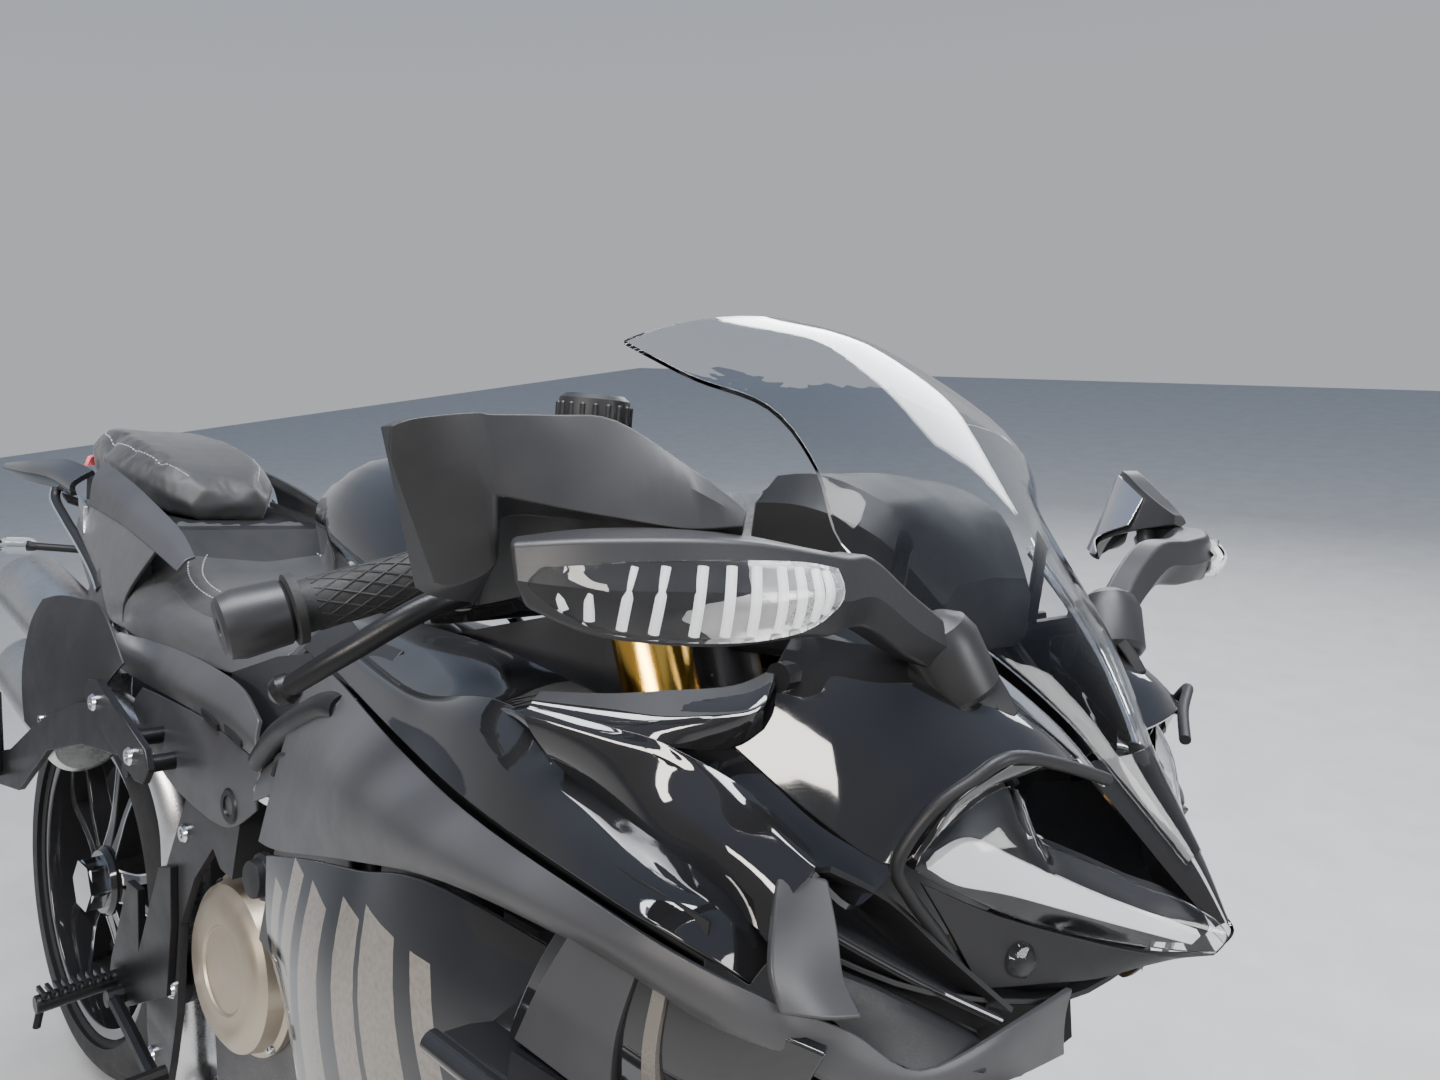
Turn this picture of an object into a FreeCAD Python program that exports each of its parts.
import FreeCAD, Part
import math
import os

V = FreeCAD.Vector

# Sport bike on its side stand, in millimetres.
# It is drawn upright: x forward from the rear axle, y to the bike's left, z up from the floor.
# Then it leans to its left onto the stand, and the origin goes to the middle of its floor box.

# Wheels and steering geometry
WHEELBASE = 1400
LEAN = 12
FRONT_TYRE_R, FRONT_TYRE_HALF, FRONT_CROWN_R = 300, 60, 66
REAR_TYRE_R, REAR_TYRE_HALF, REAR_CROWN_R = 315, 90, 98
RIM_R, RIM_LIP, RIM_WALL = 216, 8, 6
FRONT_RIM_HALF, REAR_RIM_HALF = 46, 74
RAKE = 24.5
FORK_OFFSET = 32
STEERING_LOCK = 25

# Fork, yokes and bars
FORK_HALF = 105
FORK_TUBE_R, FORK_SLIDER_R = 27, 20.5
FORK_TOP, FORK_TUBE_END = 1012, 500
LOWER_YOKE_Z, UPPER_YOKE_Z = 790, 985
YOKE_THICK = 34
STEM_R, STEM_BORE_R, STEM_GAP = 15, 8.5, 0.05
HEAD_TUBE_R = 30
BAR_R, GRIP_R, BAR_END_R = 11, 17, 19
BAR_ROOT = (1076, 152, 972)
BAR_TIP = (1028, 348, 918)
BAR_END_LONG, GRIP_LONG, CLAMP_HIGH = 26, 118, 30
LEVER_BALL_R = 8
CALIPER_BACK = 62

# Axles, hubs, discs and chain
FRONT_AXLE_R, REAR_AXLE_R, REAR_AXLE_BORE_R = 11, 25, 14
FRONT_DISC_R, FRONT_DISC_Y, REAR_DISC_R, REAR_DISC_Y = 160, 66, 110, 58
DISC_THICK = 5
HUB_NUT_R, HUB_NUT_LONG = 38, 24
REAR_HUB_RIGHT, REAR_HUB_LEFT = -72, 40
CARRIER_R, CARRIER_IN, CARRIER_OUT = 62, 76, 148
CHAIN_Y, CHAIN_PITCH, CHAIN_HALF_WIDE = 163, 15.875, 8
REAR_TEETH, FRONT_TEETH = 48, 18
GEARBOX_SHAFT = (615, 445)
PIVOT, PIVOT_PIN_R = (515, 425), 16

# Frame, engine and stand
PLATE_IN, PLATE_OUT = 174, 182
ENGINE_HALF, HEAD_HALF = 146, 182
HEAD_FACE_LOW, HEAD_FACE_TOP = (956, 545), (1005, 690)
COVER_CENTRE, COVER_R, COVER_OUT = (650, 488), 90, 180
STAND_PIVOT = (515, 204, 318)
STAND_LEG_R, STAND_FOOT_R, STAND_FOOT_THICK = 10, 24, 8
STAND_OUT, STAND_AHEAD, STAND_SWING = 292, 40, 93

# Panels
SKIN = 4
SCREEN_THICK = 3.5
RUN_GAP = 0.3
TYRE_SIDES, RIM_SIDES = 60, 48


def rad(deg):
    return deg * math.pi / 180


def axle_z(tyre_r, crown_r):
    """Height of an axle so that the leaning tyre just touches the floor."""
    return tyre_r - crown_r + crown_r / math.cos(rad(LEAN))


FRONT_AXLE = V(WHEELBASE, 0, axle_z(FRONT_TYRE_R, FRONT_CROWN_R))
REAR_AXLE = V(0, 0, axle_z(REAR_TYRE_R, REAR_CROWN_R))
UP_FORK = V(-math.sin(rad(RAKE)), 0, math.cos(rad(RAKE)))
OUT_FORK = V(math.cos(rad(RAKE)), 0, math.sin(rad(RAKE)))


def fork_at(z, y=0):
    """Point on a fork leg's line at height z."""
    run = (z - FRONT_AXLE.z) * math.tan(rad(RAKE))
    return V(FRONT_AXLE.x - run, y, z)


def stem_at(z):
    """Point on the steering axis at the height of fork_at(z)."""
    return fork_at(z) - OUT_FORK * FORK_OFFSET


def mirror(shape):
    return shape.mirror(V(0, 0, 0), V(0, 1, 0))


def both(shape):
    """A right-hand piece and its left-hand twin."""
    return Part.makeCompound([shape, mirror(shape)])


def polygon(points):
    return Part.makePolygon(list(points) + [points[0]])


def solid_of(faces):
    """Closed solid from faces that meet edge to edge."""
    shell = Part.makeShell(faces)
    shell.sewShape()
    solid = Part.makeSolid(shell)
    if solid.Volume < 0:
        solid.reverse()
    return solid.removeSplitter()


def flat(*corners):
    return Part.Face(polygon(corners))


def patch(a, b, c, d, other_way=None):
    """Four corners as two flat triangles, split along the shorter diagonal unless told."""
    if other_way is None:
        other_way = (b - d).Length < (a - c).Length
    thirds = [(a, b, d), (b, c, d)] if other_way else [(a, b, c), (a, c, d)]
    return [flat(*t) for t in thirds if (t[1] - t[0]).cross(t[2] - t[0]).Length > 1e-4]


def loft(sections):
    """Solid through flat rings of as many corners each, with flat facets between them."""
    faces = [flat(*sections[0]), flat(*sections[-1])]
    for a, b in zip(sections, sections[1:]):
        for i in range(len(a)):
            j = (i + 1) % len(a)
            faces += patch(a[i], a[j], b[j], b[i])
    return solid_of(faces)


def between(p0, p1, p2, p3, t):
    """Point at share t from p1 to p2 on a smooth curve through all four."""
    slope = (p2 - p0) * t
    bend = (p0 * 2 - p1 * 5 + p2 * 4 - p3) * t**2
    twist = (p1 * 3 - p0 - p2 * 3 + p3) * t**3
    return (p1 * 2 + slope + bend + twist) * 0.5


def finer(rows, steps):
    """Rows of points with steps - 1 smooth rows put in between each two."""
    out = []
    for k in range(len(rows) - 1):
        near = [rows[max(k - 1, 0)], rows[k], rows[k + 1], rows[min(k + 2, len(rows) - 1)]]
        for s in range(steps):
            out.append([between(*four, s / steps) for four in zip(*near)])
    return out + [rows[-1]]


def sheet(rows, thick, along=1, across=1):
    """Panel from a grid of points on its outer face, thickened to its inner side.

    Rows run forwards and points in a row run downwards on the right-hand side.
    """
    rows = finer(rows, along)
    rows = [list(r) for r in zip(*finer([list(r) for r in zip(*rows)], across))]
    high, wide = len(rows), len(rows[0])
    inner = []
    for i in range(high):
        line = []
        for j in range(wide):
            ahead = rows[min(i + 1, high - 1)][j] - rows[max(i - 1, 0)][j]
            down = rows[i][min(j + 1, wide - 1)] - rows[i][max(j - 1, 0)]
            line.append(rows[i][j] + ahead.cross(down).normalize() * thick)
        inner.append(line)
    faces = []
    for i in range(high - 1):
        for j in range(wide - 1):
            corners = [(i, j), (i, j + 1), (i + 1, j + 1), (i + 1, j)]
            a, b, c, d = [rows[u][v] for u, v in corners]
            way = (b - d).Length < (a - c).Length
            faces += patch(a, b, c, d, way)
            faces += patch(*[inner[u][v] for u, v in corners], way)
    rim = [(0, j) for j in range(wide)] + [(i, wide - 1) for i in range(1, high)]
    rim += [(high - 1, j) for j in range(wide - 2, -1, -1)] + [(i, 0) for i in range(high - 2, 0, -1)]
    for (i, j), (u, v) in zip(rim, rim[1:] + rim[:1]):
        faces += patch(rows[i][j], rows[u][v], inner[u][v], inner[i][j])
    return solid_of(faces)


def side_plate(outline, y_low, y_high):
    """Plate whose outline of (x, z) points faces sideways."""
    face = Part.Face(polygon([V(x, y_low, z) for x, z in outline]))
    return face.extrude(V(0, y_high - y_low, 0))


def shaft(start, end, radius):
    """Round shaft, for what slides or turns in a bore."""
    start, end = V(*start), V(*end)
    return Part.makeCylinder(radius, (end - start).Length, start, end - start)


def ring(centre, ahead, radius, sides):
    """Corners of a regular outline square to the direction ahead."""
    aside = V(*ahead).cross(V(0.13, 0.31, 0.94)).normalize()
    up = V(*ahead).normalize().cross(aside)
    turns = [2 * math.pi * k / sides for k in range(sides)]
    return [V(*centre) + aside * (radius * math.cos(a)) + up * (radius * math.sin(a)) for a in turns]


def cone(start, end, r_start, r_end, sides=24):
    """Faceted cone or bar, with its corners on the radius."""
    ahead = V(*end) - V(*start)
    return loft([ring(start, ahead, r_start, sides), ring(end, ahead, r_end, sides)])


def rod(start, end, radius, sides=10):
    return cone(start, end, radius, radius, sides)


def around(radius, sides=24):
    """Corner radius of a faceted bore whose flats clear a shaft by the running gap."""
    return (radius + RUN_GAP) / math.cos(math.pi / sides)


def drum(centre, radius, y_low, y_high):
    """Cylinder across the bike about centre's x and z."""
    return Part.makeCylinder(radius, y_high - y_low, V(centre.x, y_low, centre.z), V(0, 1, 0))


def ngon(centre, radius, y_low, y_high, sides=24):
    """Faceted drum across the bike, with a corner at its lowest point when sides is a multiple of 4."""
    turns = [2 * math.pi * k / sides for k in range(sides)]
    outline = [(centre.x + radius * math.cos(a), centre.z + radius * math.sin(a)) for a in turns]
    return side_plate(outline, y_low, y_high)


def spun(profile, centre, sides):
    """Ring about an axle from a closed profile of (radius, y) points, in flat facets."""
    rings = []
    for k in range(sides):
        a = 2 * math.pi * k / sides
        rings.append([V(centre.x + r * math.cos(a), y, centre.z + r * math.sin(a)) for r, y in profile])
    faces = []
    for a, b in zip(rings, rings[1:] + rings[:1]):
        for i in range(len(profile)):
            j = (i + 1) % len(profile)
            faces.append(flat(a[i], a[j], b[j], b[i]))
    return solid_of(faces)


def pipe(points, radius, bend, sides=10, step=30):
    """Round bar with flat facets along straight runs joined by arcs of radius bend."""
    points = [V(*p) for p in points]
    path = [points[0]]
    for before, corner, after in zip(points, points[1:], points[2:]):
        back = (before - corner).normalize()
        ahead = (after - corner).normalize()
        half = back.getAngle(ahead) / 2
        reach = bend / math.tan(half)
        centre = corner + (back + ahead).normalize() * (bend / math.sin(half))
        start, normal = corner + back * reach - centre, (back * -1).cross(ahead).normalize()
        turn = math.pi - 2 * half
        count = max(1, math.ceil(turn / rad(step)))
        for k in range(count + 1):
            path.append(centre + FreeCAD.Rotation(normal, math.degrees(turn * k / count)).multVec(start))
    path.append(points[-1])
    rings, aside = [], None
    for i, at in enumerate(path):
        before, after = path[max(i - 1, 0)], path[min(i + 1, len(path) - 1)]
        arriving = (at - before).normalize() if i else V()
        leaving = (after - at).normalize() if i < len(path) - 1 else V()
        ahead = (arriving + leaving).normalize()
        if aside is None:
            aside = ahead.cross(V(0.3, 0.9, 0.1)).normalize()
        aside = (aside - ahead * aside.dot(ahead)).normalize()
        up = ahead.cross(aside)
        turns = [2 * math.pi * k / sides for k in range(sides)]
        rings.append([at + aside * (radius * math.cos(a)) + up * (radius * math.sin(a)) for a in turns])
    return loft(rings)


def ball(centre, radius, sides=8):
    """Small knob with flat facets."""
    rings = []
    for lift in (-0.96, -0.62, 0, 0.62, 0.96):
        r = radius * math.sqrt(1 - lift**2)
        turns = [2 * math.pi * k / sides for k in range(sides)]
        middle = V(centre[0], centre[1] + lift * radius, centre[2])
        rings.append([middle + V(r * math.cos(a), 0, r * math.sin(a)) for a in turns])
    return loft(rings)


def beam(stations):
    """Box beam through stations of (x, y, z, width, height)."""
    sections = []
    for x, y, z, wide, high in stations:
        w, h = wide / 2, high / 2
        sections.append([V(x, y - w, z - h), V(x, y + w, z - h), V(x, y + w, z + h), V(x, y - w, z + h)])
    return loft(sections)


def skin(rows, thick=SKIN, along=2, across=2):
    """Right-hand panel from rows of (x, [(y, z), ...] from top to bottom)."""
    return sheet([[V(x, y, z) for y, z in line] for x, line in rows], thick, along, across)


def fuse(first, *others):
    shape = first
    for other in others:
        shape = shape.fuse(other)
    return shape.removeSplitter()


def outside(shape):
    """The solid of a cut shape that reaches furthest to the right."""
    return min(shape.Solids, key=lambda solid: solid.BoundBox.YMin)


def tyre(centre, tyre_r, half, crown_r, rim_half):
    """Tyre with a round crown in flat bands; the leaning bike stands on a band's edge."""
    right = []
    for turn in (LEAN, LEAN + 15, LEAN + 31, LEAN + 47):
        y = crown_r * math.sin(rad(turn))
        if y < half * 0.97:
            right.append((tyre_r - crown_r + crown_r * math.cos(rad(turn)), y))
    bead = rim_half - RUN_GAP
    right.append((right[-1][0] - half * 0.3, half))
    right += [(RIM_R + RIM_LIP + 2 * RUN_GAP, bead), (RIM_R + RUN_GAP, bead)]
    return spun([(r, -y) for r, y in right[::-1]] + right, centre, TYRE_SIDES)


def rim(centre, half, hub_r, hub_low, hub_high, bore_r, spoke_out, spoke_in):
    """Cast wheel: barrel, hub and five forked spokes."""
    lip, edge = RIM_R + RIM_LIP, half + 6
    inner = RIM_R - RIM_WALL - 8
    bed = [(lip, -edge), (lip, -half), (RIM_R, -half), (RIM_R, half), (lip, half), (lip, edge)]
    barrel = spun(bed + [(inner + 6, edge), (inner, 0), (inner + 6, -edge)], centre, RIM_SIDES)
    hub = ngon(centre, hub_r, hub_low, hub_high)
    spokes = []
    for i in range(5):
        a = rad(72 * i + 9)
        ahead, across = V(math.cos(a), 0, math.sin(a)), V(-math.sin(a), 0, math.cos(a))
        middle = V(centre.x, 0, centre.z)
        for side in (-1, 1):
            arm = []
            for r, y, off, wide, deep in (
                (hub_r - 8, spoke_in, 12, 14, 34),
                (hub_r + 60, (spoke_in + spoke_out) / 2, 20, 9, 28),
                (inner + 2, spoke_out, 46, 8, 22),
            ):
                mid = middle + ahead * r + across * (off * side) + V(0, y, 0)
                if r > inner:
                    mid = middle + (ahead * r + across * (off * side)).normalize() * r + V(0, y, 0)
                w, d = across * wide, V(0, deep / 2, 0)
                arm.append([mid + w - d, mid - w - d, mid - w + d, mid + w + d])
            spokes.append(loft(arm))
    whole = fuse(barrel, hub, *spokes)
    return whole.cut(drum(centre, bore_r, hub_low - 5, hub_high + 5))


def disc(centre, radius, y, thick, inner):
    """Brake disc with a scalloped edge."""
    outline = []
    for i in range(24):
        a = rad(15 * i)
        r = radius if i % 2 == 0 else radius - 4
        outline.append(V(centre.x + r * math.cos(a), y, centre.z + r * math.sin(a)))
    plate = Part.Face(polygon(outline)).extrude(V(0, thick, 0))
    hole = []
    for i in range(12):
        a = rad(30 * i)
        hole.append(V(centre.x + inner * math.cos(a), y - 1, centre.z + inner * math.sin(a)))
    return plate.cut(Part.Face(polygon(hole)).extrude(V(0, thick + 2, 0)))


def front_wheel():
    c = FRONT_AXLE
    yield "front_tyre", tyre(c, FRONT_TYRE_R, FRONT_TYRE_HALF, FRONT_CROWN_R, FRONT_RIM_HALF)
    hub_half = FRONT_DISC_Y - RUN_GAP
    bore = FRONT_AXLE_R + STEM_GAP
    yield "front_rim", rim(c, FRONT_RIM_HALF, 34, -hub_half, hub_half, bore, 0, 0)
    right = disc(c, FRONT_DISC_R, -FRONT_DISC_Y - DISC_THICK, DISC_THICK, 28)
    yield "front_discs", both(right)


def rear_wheel():
    c = REAR_AXLE
    yield "rear_tyre", tyre(c, REAR_TYRE_R, REAR_TYRE_HALF, REAR_CROWN_R, REAR_RIM_HALF)
    bore = REAR_AXLE_R + RUN_GAP
    yield "rear_rim", rim(c, REAR_RIM_HALF, 52, REAR_HUB_RIGHT, REAR_HUB_LEFT, bore, -34, -46)
    yield "rear_disc", disc(c, REAR_DISC_R, REAR_DISC_Y, DISC_THICK, around(REAR_AXLE_R, 12))
    nut_end = REAR_HUB_RIGHT - RUN_GAP - HUB_NUT_LONG
    shaft = drum(c, REAR_AXLE_R, nut_end, CHAIN_Y + 24)
    nut = ngon(c, HUB_NUT_R, nut_end, REAR_HUB_RIGHT - RUN_GAP, 6)
    collar = ngon(c, 36, REAR_HUB_LEFT + RUN_GAP, REAR_DISC_Y - RUN_GAP)
    seat = ngon(c, 36, CARRIER_OUT + RUN_GAP, CHAIN_Y - 3 - RUN_GAP)
    bore = drum(c, REAR_AXLE_BORE_R, nut_end - 1, CHAIN_Y + 25)
    yield "rear_axle", fuse(shaft, nut, collar, seat).cut(bore)
    yield "rear_sprocket", sprocket(c, REAR_TEETH, REAR_AXLE_R + RUN_GAP)


def pitch_r(teeth):
    return CHAIN_PITCH / 2 / math.sin(math.pi / teeth)


def sprocket(centre, teeth, bore_r):
    """Toothed plate in the chain's plane."""
    radius = pitch_r(teeth)
    outline = []
    for i in range(teeth):
        for part, r in ((0, radius - 4.5), (0.4, radius + 3), (0.6, radius + 3)):
            a = 2 * math.pi * (i + part) / teeth
            outline.append(V(centre.x + r * math.cos(a), CHAIN_Y - 3, centre.z + r * math.sin(a)))
    plate = Part.Face(polygon(outline)).extrude(V(0, 6, 0))
    return plate.cut(drum(centre, bore_r, CHAIN_Y - 5, CHAIN_Y + 5))


def chain_loop():
    """Closed chain round both sprockets, as one band."""
    small, large = pitch_r(FRONT_TEETH), pitch_r(REAR_TEETH)
    front = V(GEARBOX_SHAFT[0], 0, GEARBOX_SHAFT[1])
    span = front - REAR_AXLE
    slope = math.atan2(span.z, span.x)
    tilt = math.asin((large - small) / span.Length)

    def belt(grow, y_low, y_high):
        points = []
        for centre, radius, first, last, steps in (
            (REAR_AXLE, large, math.pi / 2 - tilt, 1.5 * math.pi + tilt, 12),
            (front, small, 1.5 * math.pi + tilt, 2.5 * math.pi - tilt, 6),
        ):
            for i in range(steps + 1):
                a = slope + first + (last - first) * i / steps
                r = radius + grow
                points.append((centre.x + r * math.cos(a), centre.z + r * math.sin(a)))
        return side_plate(points, y_low, y_high)

    outer = belt(7, CHAIN_Y - CHAIN_HALF_WIDE, CHAIN_Y + CHAIN_HALF_WIDE)
    return outer.cut(belt(5.2, CHAIN_Y - CHAIN_HALF_WIDE - 1, CHAIN_Y + CHAIN_HALF_WIDE + 1))


def steering():
    yield "lower_yoke", lower_yoke()
    yield "upper_yoke", upper_yoke()
    right_tube = shaft(fork_at(FORK_TUBE_END, -FORK_HALF), fork_at(FORK_TOP, -FORK_HALF), FORK_TUBE_R)
    yield "fork_tubes", both(right_tube)
    yield "fork_legs", fork_legs()
    axle_half = FORK_HALF + 16
    yield "front_axle", drum(FRONT_AXLE, FRONT_AXLE_R, -axle_half, axle_half)
    yield "front_calipers", both(front_caliper())
    yield "front_mudguard", front_mudguard()
    yield "clip_ons", both(clip_on())
    yield "grips", both(grip())
    yield "brake_master", brake_master()
    yield "clutch_perch", clutch_perch()


def yoke(z, thick, half_deep):
    """Plate across both fork legs, square to the steering axis."""
    mid = stem_at(z)
    across = FORK_HALF + FORK_TUBE_R + 6
    outline = [
        (-across, FORK_OFFSET - half_deep),
        (-FORK_HALF + 30, -half_deep + 6), (FORK_HALF - 30, -half_deep + 6),
        (across, FORK_OFFSET - half_deep), (across, FORK_OFFSET + half_deep - 8),
        (FORK_HALF - 26, FORK_OFFSET + half_deep), (-FORK_HALF + 26, FORK_OFFSET + half_deep),
        (-across, FORK_OFFSET + half_deep - 8),
    ]
    base = mid - UP_FORK * (thick / 2)
    wire = polygon([base + V(0, y, 0) + OUT_FORK * out for y, out in outline])
    plate = Part.Face(wire).extrude(UP_FORK * thick)
    for side in (-1, 1):
        low = fork_at(z - 60, side * FORK_HALF)
        plate = plate.cut(rod(low, fork_at(z + 60, side * FORK_HALF), around(FORK_TUBE_R), 24))
    return plate


def stem_ends():
    """Lowest and highest point of the steering stem."""
    half = UP_FORK * (YOKE_THICK / 2)
    return stem_at(LOWER_YOKE_Z) - half, stem_at(UPPER_YOKE_Z) - half - UP_FORK * RUN_GAP


def lower_yoke():
    bottom, top = stem_ends()
    long = (top - bottom).Length
    stem = Part.makeCylinder(STEM_R, long, bottom, UP_FORK)
    bore = Part.makeCylinder(STEM_BORE_R, long + 2, bottom - UP_FORK, UP_FORK)
    return fuse(yoke(LOWER_YOKE_Z, YOKE_THICK, 36), stem).cut(bore)


def upper_yoke():
    mid = stem_at(UPPER_YOKE_Z)
    bore = rod(mid - UP_FORK * YOKE_THICK, mid + UP_FORK * YOKE_THICK, STEM_R - 1, 16)
    return yoke(UPPER_YOKE_Z, YOKE_THICK * 0.7, 34).cut(bore)


def fork_legs():
    legs = []
    for side in (-1, 1):
        foot = V(FRONT_AXLE.x, side * FORK_HALF, FRONT_AXLE.z)
        end = fork_at(FORK_TUBE_END, side * FORK_HALF) - UP_FORK * RUN_GAP
        slider = rod(foot + UP_FORK * 20, end, FORK_SLIDER_R, 20)
        lug = ngon(foot, 30, side * FORK_HALF - 16, side * FORK_HALF + 16, 20)
        inner = side * (FORK_HALF - 8)
        outer = side * (FORK_HALF + 8)
        boss = []
        for along, back in ((10, -14), (10, -CALIPER_BACK), (120, -CALIPER_BACK), (140, -14)):
            boss.append(foot + UP_FORK * along + OUT_FORK * back)
        low = polygon([V(p.x, min(inner, outer), p.z) for p in boss])
        ear = Part.Face(low).extrude(V(0, 16, 0))
        leg = fuse(slider, lug, ear).cut(ngon(FRONT_AXLE, around(FRONT_AXLE_R), -300, 300))
        legs.append(leg)
    return Part.makeCompound(legs)


def front_caliper():
    """Radial caliper behind the right fork leg, astride the disc."""
    foot = V(FRONT_AXLE.x, 0, FRONT_AXLE.z)
    near = -CALIPER_BACK - RUN_GAP
    outline = [(20, near), (20, -118), (52, -148), (108, -148), (118, -118), (118, near)]
    inner, outer = -FRONT_DISC_Y + 22, -FORK_HALF
    wire = []
    for along, back in outline:
        p = foot + UP_FORK * along + OUT_FORK * back
        wire.append(V(p.x, outer, p.z))
    body = Part.Face(polygon(wire)).extrude(V(0, inner - outer, 0))
    slot = ngon(foot, FRONT_DISC_R + 6, -FRONT_DISC_Y - DISC_THICK - 5, -FRONT_DISC_Y + 5, 36)
    return body.cut(slot)


def guard_outline(*places):
    """Points given from the front axle, which grow with the tyre."""
    grow = FRONT_TYRE_R / 300
    return [(FRONT_AXLE.x + x * grow, FRONT_AXLE.z + z * grow) for x, z in places]


def front_mudguard():
    """Arched guard over the front tyre, with ears and bosses to the fork legs."""
    rows = []
    for deg in (150, 128, 106, 84, 62, 48):
        a, r, wide = rad(deg), FRONT_TYRE_R + 12, FRONT_TYRE_HALF + 10
        arch = [(r - 40, wide), (r - 8, wide - 8), (r + 6, 0), (r - 8, 8 - wide), (r - 40, -wide)]
        rows.append([V(FRONT_AXLE.x + o * math.cos(a), y, FRONT_AXLE.z + o * math.sin(a)) for o, y in arch])
    guard = sheet(rows, 3)
    ears = []
    inner, middle = FRONT_TYRE_HALF + 6, FORK_HALF - FORK_TUBE_R - 1
    outer = FORK_HALF - FORK_SLIDER_R - RUN_GAP
    for side in (-1, 1):
        ear = guard_outline((-70, 259), (-164, 217), (-138, 179), (-100, 167), (-55, 167), (-48, 199))
        boss = guard_outline((-92, 169), (-62, 169), (-74, 191), (-103, 191))
        ears.append(side_plate(ear, min(side * inner, side * middle), max(side * inner, side * middle)))
        ears.append(side_plate(boss, min(side * middle, side * outer), max(side * middle, side * outer)))
    return fuse(guard, *ears)


def clip_on():
    """Right-hand bar with its clamp below the upper yoke."""
    low = fork_at(UPPER_YOKE_Z, -FORK_HALF) - UP_FORK * (YOKE_THICK * 0.35 + CLAMP_HIGH + RUN_GAP)
    clamp = rod(low, low + UP_FORK * CLAMP_HIGH, FORK_TUBE_R + 10, 24)
    root, tip = V(BAR_ROOT[0], -BAR_ROOT[1], BAR_ROOT[2]), V(BAR_TIP[0], -BAR_TIP[1], BAR_TIP[2])
    arm = loft(
        [
            [V(1084, -130, 938), V(1116, -130, 928), V(1112, -130, 950), V(1082, -130, 956)],
            [V(1062, -160, 954), V(1090, -160, 950), V(1090, -160, 980), V(1062, -160, 984)],
        ]
    )
    along = (tip - root).normalize()
    bar = rod(root, tip - along * (BAR_END_LONG + RUN_GAP), BAR_R, 16)
    tube = rod(low - UP_FORK * 40, low + UP_FORK * 60, around(FORK_TUBE_R), 24)
    return fuse(clamp, arm, bar).cut(tube)


def grip():
    """Rubber grip with its flange, and the weight at the bar's end."""
    root, tip = V(BAR_ROOT[0], -BAR_ROOT[1], BAR_ROOT[2]), V(BAR_TIP[0], -BAR_TIP[1], BAR_TIP[2])
    along = (tip - root).normalize()
    inner = tip - along * (BAR_END_LONG + GRIP_LONG)
    sleeve = rod(inner, tip - along * (BAR_END_LONG - 1), GRIP_R, 16)
    flange = rod(inner, inner + along * 5, GRIP_R + 7, 16)
    weight = rod(tip - along * BAR_END_LONG, tip, BAR_END_R, 16)
    bore = rod(inner - along, tip - along * BAR_END_LONG, around(BAR_R, 16), 16)
    return fuse(sleeve, flange, weight).cut(bore)


def lever(tip, knee, root):
    """Hand lever from its perch to the ball at its tip."""
    blade = loft([diamond(root, 13, 9), diamond(knee, 10, 7), diamond(tip, 7, 6)])
    return fuse(blade, ball(tip, LEVER_BALL_R))


def diamond(at, deep, high):
    x, y, z = at
    return [V(x - deep, y, z), V(x, y, z - high), V(x + deep, y, z), V(x, y, z + high)]


def brake_master():
    """Right lever, its cylinder and the reservoir on a stalk."""
    blade = lever((1075, -345, 888), (1128, -285, 940), (1122, -196, 952))
    body = rod((1104, -172, 957), (1126, -220, 951), 16)
    perch = rod((1066, -196, 958), (1124, -200, 953), 14)
    cup = rod((1108, -160, 1006), (1108, -160, 1064), 21, 16)
    stalk = rod((1112, -176, 960), (1108, -164, 1008), 7)
    return fuse(blade, body, perch, cup, stalk).cut(bar_space(-1))


def clutch_perch():
    """Left lever and its perch."""
    blade = lever((1075, 345, 888), (1128, 285, 940), (1122, 196, 952))
    perch = rod((1066, 196, 958), (1124, 200, 953), 14)
    return fuse(blade, perch).cut(bar_space(1))


def bar_space(side):
    root = V(BAR_ROOT[0], side * BAR_ROOT[1], BAR_ROOT[2])
    tip = V(BAR_TIP[0], side * BAR_TIP[1], BAR_TIP[2])
    return rod(root, tip, around(BAR_R, 16), 16)


def chassis():
    yield "engine_block", engine_block()
    yield "engine_covers", engine_covers()
    yield "main_frame", main_frame()
    yield "subframe", subframe()
    yield "radiator", radiator()
    yield "fuel_tank", fuel_tank()
    yield "rider_seat", rider_seat()
    yield "pillion_seat", pillion_seat()
    yield "tail_cowl", both(tail_side())
    yield "tail_light", tail_light()
    yield "plate_hanger", plate_hanger()
    yield "exhaust_header", exhaust_header()
    yield "mufflers", mufflers()
    yield "muffler_guard", muffler_guard()
    yield "rider_footrests", both(rider_footrest())
    yield "foot_levers", foot_levers()
    yield "pillion_footrests", both(pillion_footrest())
    yield "swingarm", swingarm()
    yield "rear_shock", rear_shock()
    yield "rear_caliper", rear_caliper()
    yield "chain", chain_loop()
    yield "rear_hugger", rear_hugger()
    yield "nose_cowls", both(nose_cowl())
    yield "duct_skins", both(duct_skin())
    yield "headlamp", headlamp()
    yield "windscreen", windscreen()
    yield "shoulder_panels", both(shoulder_panel())
    yield "band_panels", both(band_panel())
    yield "side_panels", both(side_panel())
    yield "winglets", both(winglet())
    yield "belly_pan", belly_pan()
    yield "dash", dash()
    yield "fairing_stay", fairing_stay()
    yield "panel_brackets", both(panel_brackets())
    yield "mirrors", both(mirror_right())


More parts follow.
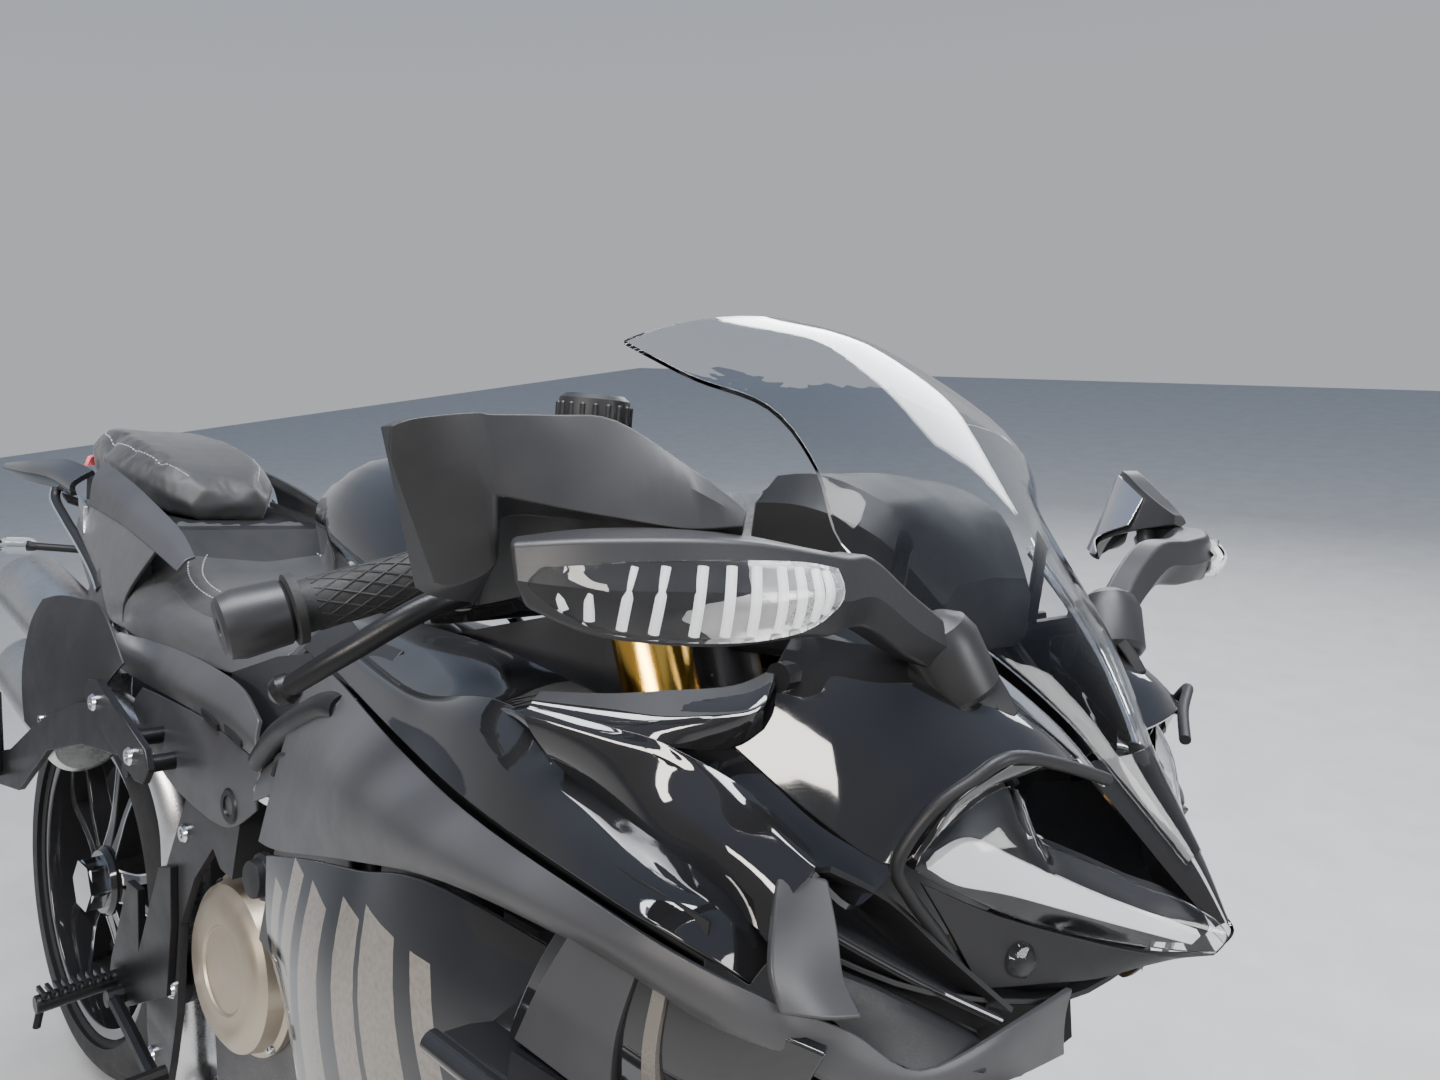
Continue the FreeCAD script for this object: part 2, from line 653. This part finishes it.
def engine_block():
    case_line = [
        (566, 380), (580, 300), (640, 285), (880, 285), (960, 350),
        (965, 520), (930, 560), (640, 590), (590, 520),
    ]
    head_line = [(728, 552), (940, 500), HEAD_FACE_LOW, HEAD_FACE_TOP, (985, 735), (800, 735), (765, 712)]
    case = side_plate(case_line, -ENGINE_HALF, ENGINE_HALF)
    head = side_plate(head_line, -HEAD_HALF, HEAD_HALF)
    sump = side_plate([(650, 300), (665, 258), (835, 258), (865, 300)], -90, 90)
    return fuse(case, head, sump)


def engine_covers():
    x, z = COVER_CENTRE
    face = -ENGINE_HALF - RUN_GAP
    clutch = cone((x, face, z), (x, -COVER_OUT, z), COVER_R, COVER_R - 14, 32)
    alternator = cone((850, ENGINE_HALF + RUN_GAP, 430), (850, COVER_OUT, 430), 72, 58)
    front = V(GEARBOX_SHAFT[0], 0, GEARBOX_SHAFT[1])
    driver = ngon(front, pitch_r(FRONT_TEETH) + 1, ENGINE_HALF + RUN_GAP, CHAIN_Y + 3)
    return Part.makeCompound([clutch, alternator, driver])


def main_frame():
    """Head tube, two spars and the pivot plates, with the stand's lug on the left."""
    pieces = []
    neck = stem_at(880).x
    for side in (-1, 1):
        spar = [
            (neck - 8, side * 38, 880, 36, 110), (neck - 61, side * 56, 868, 34, 92),
            (985, side * 112, 850, 36, 84), (900, side * 146, 822, 36, 80),
            (700, side * 148, 772, 30, 80), (600, side * 146, 735, 28, 80),
        ]
        pieces.append(beam(spar))
        plate = [
            (590, 700), (700, 700), (655, 640), (585, 560), (556, 500), (556, 400), (545, 340), (535, 300),
            (498, 300), (480, 350), (470, 430), (520, 560),
        ]
        block = [(600, 625), (642, 590.6), (668, 588), (690, 700), (600, 700)]
        mount = [(835, 735.3), (865, 735.3), (865, 790), (835, 790)]
        plates = (plate, PLATE_IN, PLATE_OUT), (block, 134, PLATE_OUT), (mount, 134, 162)
        for outline, inner, outer in plates:
            pieces.append(side_plate(outline, *sorted((side * inner, side * outer))))
        pieces.append(rod((880, side * 136, 846), (880, side * 136, 876.3), 8))
        pieces.append(rod((690, side * 140, 804), (690, side * 98, 846), 7))
    low, high = stem_at(LOWER_YOKE_Z), stem_at(UPPER_YOKE_Z)
    low = low + UP_FORK * (YOKE_THICK / 2 + RUN_GAP)
    high = high - UP_FORK * (YOKE_THICK * 0.35 + RUN_GAP)
    pieces.append(Part.makeCylinder(HEAD_TUBE_R, (high - low).Length, low, UP_FORK))
    pieces.append(ngon(V(PIVOT[0], 0, PIVOT[1]), PIVOT_PIN_R, -PLATE_OUT, PLATE_OUT, 16))
    pieces.append(side_plate([(590, 702), (635, 702), (635, 740), (590, 740)], -146, 146))
    whole = fuse(*pieces)
    pin = V(*STAND_PIVOT)
    lug = rod(pin - stand_axis() * (STAND_LEG_R + 22), pin - stand_axis() * (STAND_LEG_R + RUN_GAP), 15, 16)
    whole = whole.cut(Part.makeCylinder(STEM_R + STEM_GAP, 400, low - UP_FORK * 50, UP_FORK))
    whole = fuse(whole, lug).cut(rod(pin - stand_axis() * (STAND_LEG_R + 18), pin, around(6, 12), 12))
    return whole


def subframe():
    """Tail rails with struts below, and the two bridges that carry the seats."""
    parts = []
    for side in (-1, 1):
        rail = [(587, side * 118, 724), (330, side * 106, 768), (110, side * 90, 855), (-57, side * 70, 872)]
        parts.append(pipe(rail, 12, 60, 10, 40))
        parts.append(rod((595, side * 150, 650), (230, side * 99, 800), 10))
    parts.append(side_plate([(555, 725), (575, 722), (575, 781.4), (555, 781.4)], -112, 112))
    parts.append(side_plate([(340, 762), (360, 758), (360, 797.4), (340, 797.9)], -100, 100))
    parts.append(side_plate([(140, 840), (160, 835), (160, 895), (140, 896.2)], -88, 88))
    for start, toward in (((330, -112, 768), (330, -158, 772)), ((-30, -76, 870), (-34, -145, 895))):
        arm = strut(start, toward, tail_side())
        parts += [arm, mirror(arm)]
    return fuse(*parts)


def radiator():
    """Core and tanks, hung from the spars on two posts."""
    core = beam([(1060, 0, 560, 330, 280), (1100, 0, 560, 330, 280)])
    posts = [rod((1078, s * 56, 698), (1048, s * 56, 820.8), 6) for s in (-1, 1)]
    return fuse(core, *posts)


def fuel_tank():
    """Tank cover: sections of (x, top half width, top, crease half width, crease, foot half width, foot)."""
    rows = [
        (655, 70, 985, 108, 950, 92, 860),
        (740, 95, 1002, 138, 950, 128, 845),
        (860, 100, 1002, 160, 925, 150, 875),
        (950, 85, 975, 160, 905, 150, 888),
        (1000, 60, 930, 132, 915, 124, 905),
    ]
    sections = []
    for x, a, top, b, crease, c, foot in rows:
        half = [(0, top + 6), (a, top), (b, crease), (c, foot)]
        ring = [V(x, -y, z) for y, z in half] + [V(x, y, z) for y, z in half[:0:-1]]
        sections.append(ring)
    return loft(sections)


def cushion(rows):
    """Seat from rows of (x, half width, side height, top, underside)."""
    sections = []
    for x, half, side, top, low in rows:
        half_ring = [(0, top), (half * 0.72, top - 4), (half, side), (half * 0.9, low), (0, low)]
        ring = [V(x, -y, z) for y, z in half_ring] + [V(x, y, z) for y, z in half_ring[-2:0:-1]]
        sections.append(ring)
    return loft(sections)


def rider_seat():
    return cushion(
        [
            (650, 78, 815, 832, 790), (560, 112, 805, 822, 782), (450, 140, 805, 818, 782),
            (350, 135, 820, 835, 800), (300, 100, 862, 880, 840),
        ]
    )


def pillion_seat():
    return cushion(
        [
            (290, 70, 900, 915, 886), (200, 92, 928, 955, 893), (80, 96, 945, 976, 900),
            (-60, 80, 958, 984, 912), (-115, 55, 960, 978, 925),
        ]
    )


def tail_side():
    """Right tail side, from the band under the seat to the pointed tip."""
    band = [
        (665, [(-167, 736), (-168, 728), (-167, 720)]),
        (585, [(-167, 752), (-168, 730), (-167, 708)]),
        (440, [(-152, 775), (-160, 745), (-154, 706)]),
        (250, [(-140, 818), (-146, 800), (-140, 780)]),
        (120, [(-128, 880), (-138, 852), (-128, 826)]),
        (-20, [(-128, 933), (-134, 902), (-118, 870)]),
        (-160, [(-130, 928), (-134, 912), (-126, 890)]),
        (-270, [(-130, 916), (-134, 911), (-130, 905)]),
    ]
    return skin(band[::-1])


def tail_light():
    return beam([(-95, 0, 884, 150, 36), (-58.7, 0, 884, 150, 40)])


def plate_hanger():
    """Hanger under the tail light with a bare plate and two signal lamps."""
    arm_line = [(-62, 863.6), (-62, 845), (-190, 760), (-246, 694), (-262, 700), (-215, 780), (-110, 864.6)]
    arm = side_plate(arm_line, -18, 18)
    plate = loft(
        [
            [V(-262, -90, 712), V(-262, 90, 712), V(-254, 90, 710), V(-254, -90, 710)],
            [V(-290, -90, 560), V(-290, 90, 560), V(-284, 90, 558), V(-284, -90, 558)],
        ]
    )
    lamps = []
    for side in (-1, 1):
        lamps.append(rod((-208, side * 5, 783), (-252, side * 108, 789), 6))
        lamps.append(rod((-248, side * 96, 789), (-262, side * 142, 789), 13))
    return fuse(arm, plate, *lamps)


def exhaust_header():
    """Four header pipes down the front, the collector below and the link up to the mufflers."""
    (x0, z0), (x1, z1) = HEAD_FACE_LOW, HEAD_FACE_TOP
    away = V(z1 - z0, 0, x0 - x1).normalize()
    port = V((x0 + 2 * x1) / 3, 0, (z0 + 2 * z1) / 3) + away * RUN_GAP
    pipes = []
    for y in (-120, -40, 40, 120):
        start, turn = port + V(0, y, 0), port + away * 52 + V(0, y, 0)
        route = [start, turn, (1036, y * 0.7, 330), (930, y * 0.35, 216), (800, y * 0.3, 216)]
        pipes.append(pipe(route, 17, 36, 8, 60))
    link = [
        (830, 0, 216), (640, -50, 214), (452, -120, 250),
        (446, -138, 560), (400, -150, 640), (296, -169, 667),
    ]
    collector = pipe(link, 25, 50, 12, 30)
    box = beam([(840, 0, 216, 90, 60), (780, 0, 216, 110, 64), (700, -20, 216, 70, 56)])
    return fuse(collector, box, *pipes)


def mufflers():
    """Two stacked cans on a shared inlet."""
    cans = []
    for front, back in (((250, -172, 728), (10, -172, 770)), ((262, -178, 618), (42, -178, 664))):
        f, b = V(*front), V(*back)
        along = (b - f).normalize()
        cans.append(fuse(rod(f, b, 44, 24), cone(b - along, b + along * 24, 44, 27)))
    inlet = side_plate([(240, 640), (288, 640), (288, 705), (240, 705)], -205, -140)
    return fuse(cans[0], cans[1], inlet)


def muffler_guard():
    """Heat shield on two stand-offs from the cans."""
    outline = [(190, 796), (330, 786), (425, 748), (440, 715), (400, 640), (300, 590), (210, 600)]
    plate = side_plate(outline, -232, -228)
    legs = [rod((220, -229, z), (220, y - RUN_GAP, z), 6) for y, z in ((-216, 733), (-222, 626))]
    return fuse(plate, *legs)


def rider_footrest():
    """Plate on the frame with the heel guard, and the folding peg's body."""
    plate = [
        (545, 560), (552, 500), (548, 420), (430, 355), (385, 362),
        (392, 400), (432, 505), (462, 505), (470, 440), (515, 550),
    ]
    bracket = side_plate(plate, -PLATE_OUT - 8, -PLATE_OUT - RUN_GAP)
    peg = rod((404, -186, 379), (402, -268, 375), 11)
    feeler = rod((402, -262, 372), (402, -266, 348), 4)
    return fuse(bracket, peg, feeler)


def foot_levers():
    """Brake pedal on the right and gear lever on the left, pivoted on the footrest plates."""
    levers = []
    for side, ahead in ((-1, 590), (1, 570)):
        arm = pipe([(430, side * 200, 372), (500, side * 206, 366), (ahead, side * 216, 362)], 7, 20, 8)
        toe = rod((ahead, side * 205, 362), (ahead, side * 250, 362), 9)
        hub = rod((430, side * (PLATE_OUT + 8 + RUN_GAP), 372), (430, side * 207, 372), 10)
        levers.append(fuse(arm, toe, hub))
    return Part.makeCompound(levers)


def pillion_footrest():
    """Hanger arm outside the mufflers with the peg folded up, bolted to the lower strut."""
    plate = [
        (556, 700), (560, 655), (430, 640), (200, 548), (140, 545),
        (140, 580), (200, 600), (430, 700), (480, 725),
    ]
    arm = side_plate(plate, -242, -234)
    peg = rod((161, -249, 566), (140, -249, 660), 11)
    pin = rod((161, -233, 566), (161, -260, 566), 7)
    bosses = []
    for x in (500, 540):
        share = (595 - x) / (595 - 230)
        y, z = -150 + share * 51, 650 + share * 150
        bosses.append(rod((x, -235, z), (x, y - 11.5, z), 9))
    return fuse(arm, peg, pin, *bosses)


def swingarm():
    """Single arm on the left, with the hub carrier at its end."""
    pivot = V(PIVOT[0], 0, PIVOT[1])
    cross = ngon(pivot, 34, -PLATE_IN + 12, PLATE_IN - 24)
    arm = beam(
        [
            (525, 124, 425, 50, 70), (420, 124, 418, 50, 110),
            (200, 124, 388, 50, 110), (60, 124, 340, 48, 90), (0, 122, REAR_AXLE.z, 48, 80),
        ]
    )
    carrier = ngon(REAR_AXLE, CARRIER_R, CARRIER_IN, CARRIER_OUT, 36)
    bridge = beam([(500, 20, 430, 160, 56), (450, 24, 438, 150, 54)])
    lug = side_plate([(20, 300), (60, 240), (118, 270), (128, 325), (90, 340), (40, 330)], CARRIER_IN, 110)
    whole = fuse(cross, arm, carrier, bridge, lug)
    whole = whole.cut(drum(REAR_AXLE, REAR_AXLE_R + STEM_GAP, 0, 300))
    return whole.cut(ngon(pivot, around(PIVOT_PIN_R, 16), -300, 300, 16))


def rear_shock():
    """Damper and spring from the swingarm's bridge to the frame's cross piece."""
    low, high = V(466, 0, 477.5), V(606, 0, 688)
    along = (high - low).normalize()
    body = rod(low, high, 14)
    spring = rod(low + along * 34, high - along * 34, 29, 16)
    eyes = [ngon(low, 14, -14, 14, 12), ngon(high, 13.5, -14, 14, 12)]
    return fuse(body, spring, *eyes)


def rear_caliper():
    outline = [(60, 235), (120, 270), (135, 330), (100, 345), (70, 320), (40, 262)]
    body = side_plate(outline, REAR_DISC_Y - 20, CARRIER_IN - RUN_GAP)
    slot = ngon(REAR_AXLE, REAR_DISC_R + 6, REAR_DISC_Y - 5, REAR_DISC_Y + DISC_THICK + 5, 36)
    return body.cut(slot)


def rear_hugger():
    """Guard over the front of the rear tyre, on the swingarm."""
    rows = []
    for deg in (100, 78, 56, 34, 12):
        a, r = rad(deg), REAR_TYRE_R + 16
        arch = [(r - 30, 98.7), (r, 84), (r + 8, 0), (r, -84), (r - 30, -98.7)]
        rows.append([V(REAR_AXLE.x + o * math.cos(a), y, REAR_AXLE.z + o * math.sin(a)) for o, y in arch])
    return sheet(rows, 3)


def nose_cowl():
    """Right nose panel from the screen's edge down to the duct and the lamp."""
    rows = [
        [(1290, -134, 986), (1307, -171, 970), (1306, -192, 942), (1295, -213, 892)],
        [(1326, -117, 961), (1340, -154, 945), (1345, -180, 912), (1342, -197, 863)],
        [(1366, -84, 933), (1376, -124, 925), (1384, -154, 896), (1379, -180, 848)],
        [(1393, -62, 908), (1404, -98, 912), (1409, -130, 898), (1396, -167, 884)],
        [(1412, -44, 888), (1420, -72, 894), (1420, -104, 899), (1411, -140, 903)],
    ]
    return sheet([[V(*p) for p in row] for row in rows], SKIN, 2, 2)


def duct_skin():
    """Trough between the nose and the shoulder panel."""
    trough = skin(
        [
            (1208, [(-282, 906), (-252, 892), (-240, 878), (-258, 875)]),
            (1290, [(-220, 898), (-196, 872), (-202, 852), (-256, 849)]),
            (1350, [(-198, 866), (-178, 840), (-186, 820), (-244, 817)]),
        ]
    )
    return outside(trough.cut(shoulder_panel()).cut(nose_cowl()))


def headlamp():
    """Both lamps in one case under the screen, drawn to the nose's tip."""
    rows = [
        (1385, [(0, 880), (-120, 896), (-160, 850), (-150, 822), (0, 800)]),
        (1420, [(0, 862), (-72, 876), (-118, 830), (-95, 806), (0, 790)]),
        (1470, [(0, 812), (-16, 812), (-40, 804), (-30, 796), (0, 786)]),
        (1488, [(0, 808), (-6, 808), (-12, 803), (-8, 798), (0, 796)]),
    ]
    sections = []
    for x, half in rows:
        sections.append([V(x, y, z) for y, z in half] + [V(x, -y, z) for y, z in half[-2:0:-1]])
    return loft(sections)


def windscreen():
    """Bubble screen: rows of its right edge and its middle, from rear to front."""
    rows = [
        ((1139, 165, 1103), (1150, 1138)), ((1195, 160, 1083), (1200, 1126)),
        ((1250, 153, 1068), (1250, 1098)), ((1280, 143, 1036), (1292, 1062)),
        ((1293, 130, 996), (1330, 1022)), ((1330, 108, 968), (1358, 988)),
        ((1370, 76, 939), (1390, 953)), ((1405, 46, 905), (1416, 917)),
        ((1428, 28, 875), (1434, 886)), ((1465, 10, 834), (1467, 839)),
    ]
    grid = []
    for (x, half, z), (mid_x, top) in rows:
        arch = [(-1, 0), (-0.82, 0.34), (-0.45, 0.8), (0, 1), (0.45, 0.8), (0.82, 0.34), (1, 0)]
        grid.append([V(x + rise * (mid_x - x), share * half, z + rise * (top - z)) for share, rise in arch])
    return sheet(grid, SCREEN_THICK, 1, 1)


def shoulder_panel():
    return skin(
        [
            (890, [(-192, 862), (-206, 862), (-214, 848)]),
            (1030, [(-226, 862), (-240, 860), (-246, 838)]),
            (1160, [(-252, 888), (-268, 868), (-276, 834)]),
            (1283, [(-250, 852), (-278, 844), (-290, 831)]),
            (1332, [(-234, 836), (-268, 835), (-286, 826)]),
            (1358, [(-239, 814), (-252, 812), (-262, 806)]),
        ]
    )


def band_panel():
    """Satin panel below the gloss shoulder, from the frame to under the nose."""
    return skin(
        [
            (850, [(-206, 838), (-226, 790), (-238, 740), (-246, 702)]),
            (900, [(-217, 843), (-238, 795), (-250, 750), (-254, 713)]),
            (1030, [(-247, 833), (-272, 812), (-278, 785), (-273, 755)]),
            (1160, [(-277, 829), (-292, 815), (-294, 802), (-289, 791)]),
            (1283, [(-291, 826), (-296, 814), (-292, 803), (-284, 796)]),
            (1340, [(-284, 817), (-286, 807), (-284, 797), (-276, 787)]),
            (1364, [(-247, 790), (-250, 785), (-250, 780), (-244, 772)]),
            (1380, [(-218, 806), (-224, 794), (-220, 778), (-210, 766)]),
            (1402, [(-170, 788), (-176, 776), (-172, 762), (-160, 750)]),
            (1436, [(-84, 769), (-92, 757), (-90, 745), (-82, 736)]),
        ]
    )


def side_panel():
    """Gloss lower side of the fairing, its rear edge slanting forward downwards."""
    rows = [
        [(872, -250, 700), (905, -262, 650), (935, -256, 590), (950, -238, 500), (975, -204, 380)],
        [(960, -263, 730), (985, -284, 670), (1000, -282, 590), (1010, -262, 470), (1025, -208, 330)],
        [(1050, -277, 757), (1062, -296, 690), (1072, -292, 600), (1078, -266, 480), (1088, -216, 345)],
        [(1160, -288, 787), (1172, -297, 710), (1182, -288, 630), (1188, -264, 545), (1195, -238, 460)],
        [(1346, -264, 770), (1346, -266, 740), (1342, -262, 710), (1336, -256, 680), (1330, -248, 650)],
    ]
    return sheet([[V(*p) for p in row] for row in rows], SKIN, 2, 2)


def winglet():
    """Small wing standing off the side panel, its root following the panel."""
    rows = [
        (1130, [(-270, 740), (-345, 744), (-345, 734), (-270, 728)]),
        (1250, [(-256, 742), (-332, 744), (-332, 736), (-256, 732)]),
    ]
    wing = loft([[V(x, y, z) for y, z in ring] for x, ring in rows])
    return outside(wing.cut(side_panel()))


def strut(start, toward, panel, radius=6):
    """Bar from start towards a point beyond a panel's inner face, ending flush on it."""
    pieces = rod(start, toward, radius, 8).cut(panel).Solids
    return min(pieces, key=lambda solid: solid.distToShape(Part.Vertex(V(*start)))[0])


def panel_brackets():
    """Right-hand struts from the engine and frame out to the fairing panels."""
    side = side_panel()
    return Part.makeCompound(
        [
            strut((930, -HEAD_HALF - 1.5, 650), (945, -300, 650), side),
            strut((948, -ENGINE_HALF - 2, 430), (985, -280, 440), side),
            strut((880, -165, 806), (884, -250, 800), band_panel()),
            strut((740, -70, 256), (744, -92, 165), belly_pan()),
        ]
    )


def belly_pan():
    """Open tray under the engine: rows of (x, half width, top edge, lowest)."""
    rows = []
    stations = (640, 120, 236, 166), (800, 170, 270, 164), (980, 184, 300, 176), (1050, 170, 300, 220)
    for x, half, top, low in stations:
        arch = [(-1, top), (-0.8, low + 20), (0, low), (0.8, low + 20), (1, top)]
        rows.append([V(x, share * half, z) for share, z in arch])
    return sheet(rows, SKIN)


def dash():
    """Instrument cowl, resting on the stay's cross bar."""
    cowl = beam(
        [
            (1200, 0, 1002, 190, 60), (1240, 0, 1002, 190, 66),
            (1290, 0, 988, 176, 60), (1330, 0, 947, 130, 56),
        ]
    )
    return cowl.cut(fairing_stay())


def fairing_stay():
    """Stay from the head tube to the nose, with brackets out to the side panels."""
    arms = [rod(stem_at(905), (1310, s * 90, 930), 8) for s in (-1, 1)]
    neck = Part.makeCylinder(HEAD_TUBE_R + RUN_GAP, 300, stem_at(LOWER_YOKE_Z), UP_FORK)
    arms = [arm.cut(neck) for arm in arms]
    cross = rod((1310, -200, 930), (1310, 200, 930), 8)
    lamp_arms = [rod((1312, s * 60, 930), (1380.5, s * 60, 863.5), 6) for s in (-1, 1)]
    screen_arm = strut((1310, -100, 932), (1318, -96, 1030), windscreen(), 5)
    stay = fuse(cross, *arms, *lamp_arms, screen_arm, mirror(screen_arm)).cut(both(nose_cowl()))
    return max(stay.Solids, key=lambda solid: solid.Volume)


def mirror_right():
    """Right mirror: foot on the nose, stalk, and the wedge housing above it."""
    foot = rod((1364, -120, 934), (1364, -138, 968), 18, 12)
    bends = ((1362, -132, 970), 16, 14), ((1356, -240, 992), 15, 18), ((1330, -325, 978), 32, 18)
    stalk = loft([diamond(*bend) for bend in bends])
    rings = [
        [(1353, -291, 1014), (1350, -286, 1020), (1341.6, -272, 1023), (1339.2, -268, 1004), (1348.8, -284, 1006)],
        [(1318, -328, 1013), (1300, -318, 1054), (1290, -308, 1052), (1282, -300, 984), (1312, -322, 984)],
        [(1288, -360, 1018), (1278, -364, 1050), (1266, -358, 1049), (1256, -350, 968), (1286, -352, 971)],
        [(1266, -393.6, 1026), (1266, -402, 1047), (1254, -401.2, 1045), (1244, -372, 972), (1264, -372, 972)],
    ]
    housing = loft([[V(*p) for p in ring] for ring in rings])
    neck = rod((1330, -305, 978), (1301, -314, 1018), 9)
    whole = fuse(foot, stalk, neck, housing)
    return outside(whole.cut(nose_cowl()))


def stand():
    yield "side_stand", side_stand()


def side_stand():
    """Leg swung down to the floor on the left, with a round foot."""
    pivot, foot, axis = V(*STAND_PIVOT), stand_foot(), stand_axis()
    leg = rod(pivot, foot + floor_up() * (STAND_FOOT_THICK - 2), STAND_LEG_R)
    pad = rod(foot, foot + floor_up() * STAND_FOOT_THICK, STAND_FOOT_R, 20)
    head = rod(pivot - axis * STAND_LEG_R, pivot + axis * STAND_LEG_R, 20, 20)
    pin = rod(pivot - axis * (STAND_LEG_R + 16), pivot, 6, 12)
    return fuse(leg, pad, head, pin)


def floor_up():
    """The floor's normal as the leaning bike sees it."""
    return V(0, -math.sin(rad(LEAN)), math.cos(rad(LEAN)))


def stand_foot():
    """Foot's lowest middle point: on the floor, out to the left."""
    return V(STAND_PIVOT[0] + STAND_AHEAD, STAND_OUT, STAND_OUT * math.tan(rad(LEAN)))


def stand_axis():
    """Pin direction that swings the leg from the floor back along the arm."""
    down = (stand_foot() - V(*STAND_PIVOT)).normalize()
    return down.cross(V(-0.99, 0.1, -0.05)).normalize()


GROUPS = {
    "chassis": chassis,
    "stand": stand,
    "steering": steering,
    "front_wheel": front_wheel,
    "rear_wheel": rear_wheel,
}


def build():
    """Every node's upright shape, grouped by the body it moves with."""
    return {body: dict(make()) for body, make in GROUPS.items()}


def lean(shape):
    """The upright shape leaned to the bike's left onto its stand."""
    copy = shape.copy()
    copy.rotate(V(0, 0, 0), V(1, 0, 0), -LEAN)
    return copy


def floor_shift(shapes):
    """Move that puts the middle of the shapes' floor box at the origin."""
    box = FreeCAD.BoundBox()
    for shape in shapes:
        box.add(shape.optimalBoundingBox())
    return V(-box.Center.x, -box.Center.y, -box.ZMin)


def main():
    os.makedirs("parts", exist_ok=True)
    leaned = {name: lean(shape) for nodes in build().values() for name, shape in nodes.items()}
    shift = floor_shift(leaned.values())
    for name, shape in leaned.items():
        shape.translate(shift)
        shape.exportStep(f"parts/{name}.step")


if __name__ == "__main__":
    main()
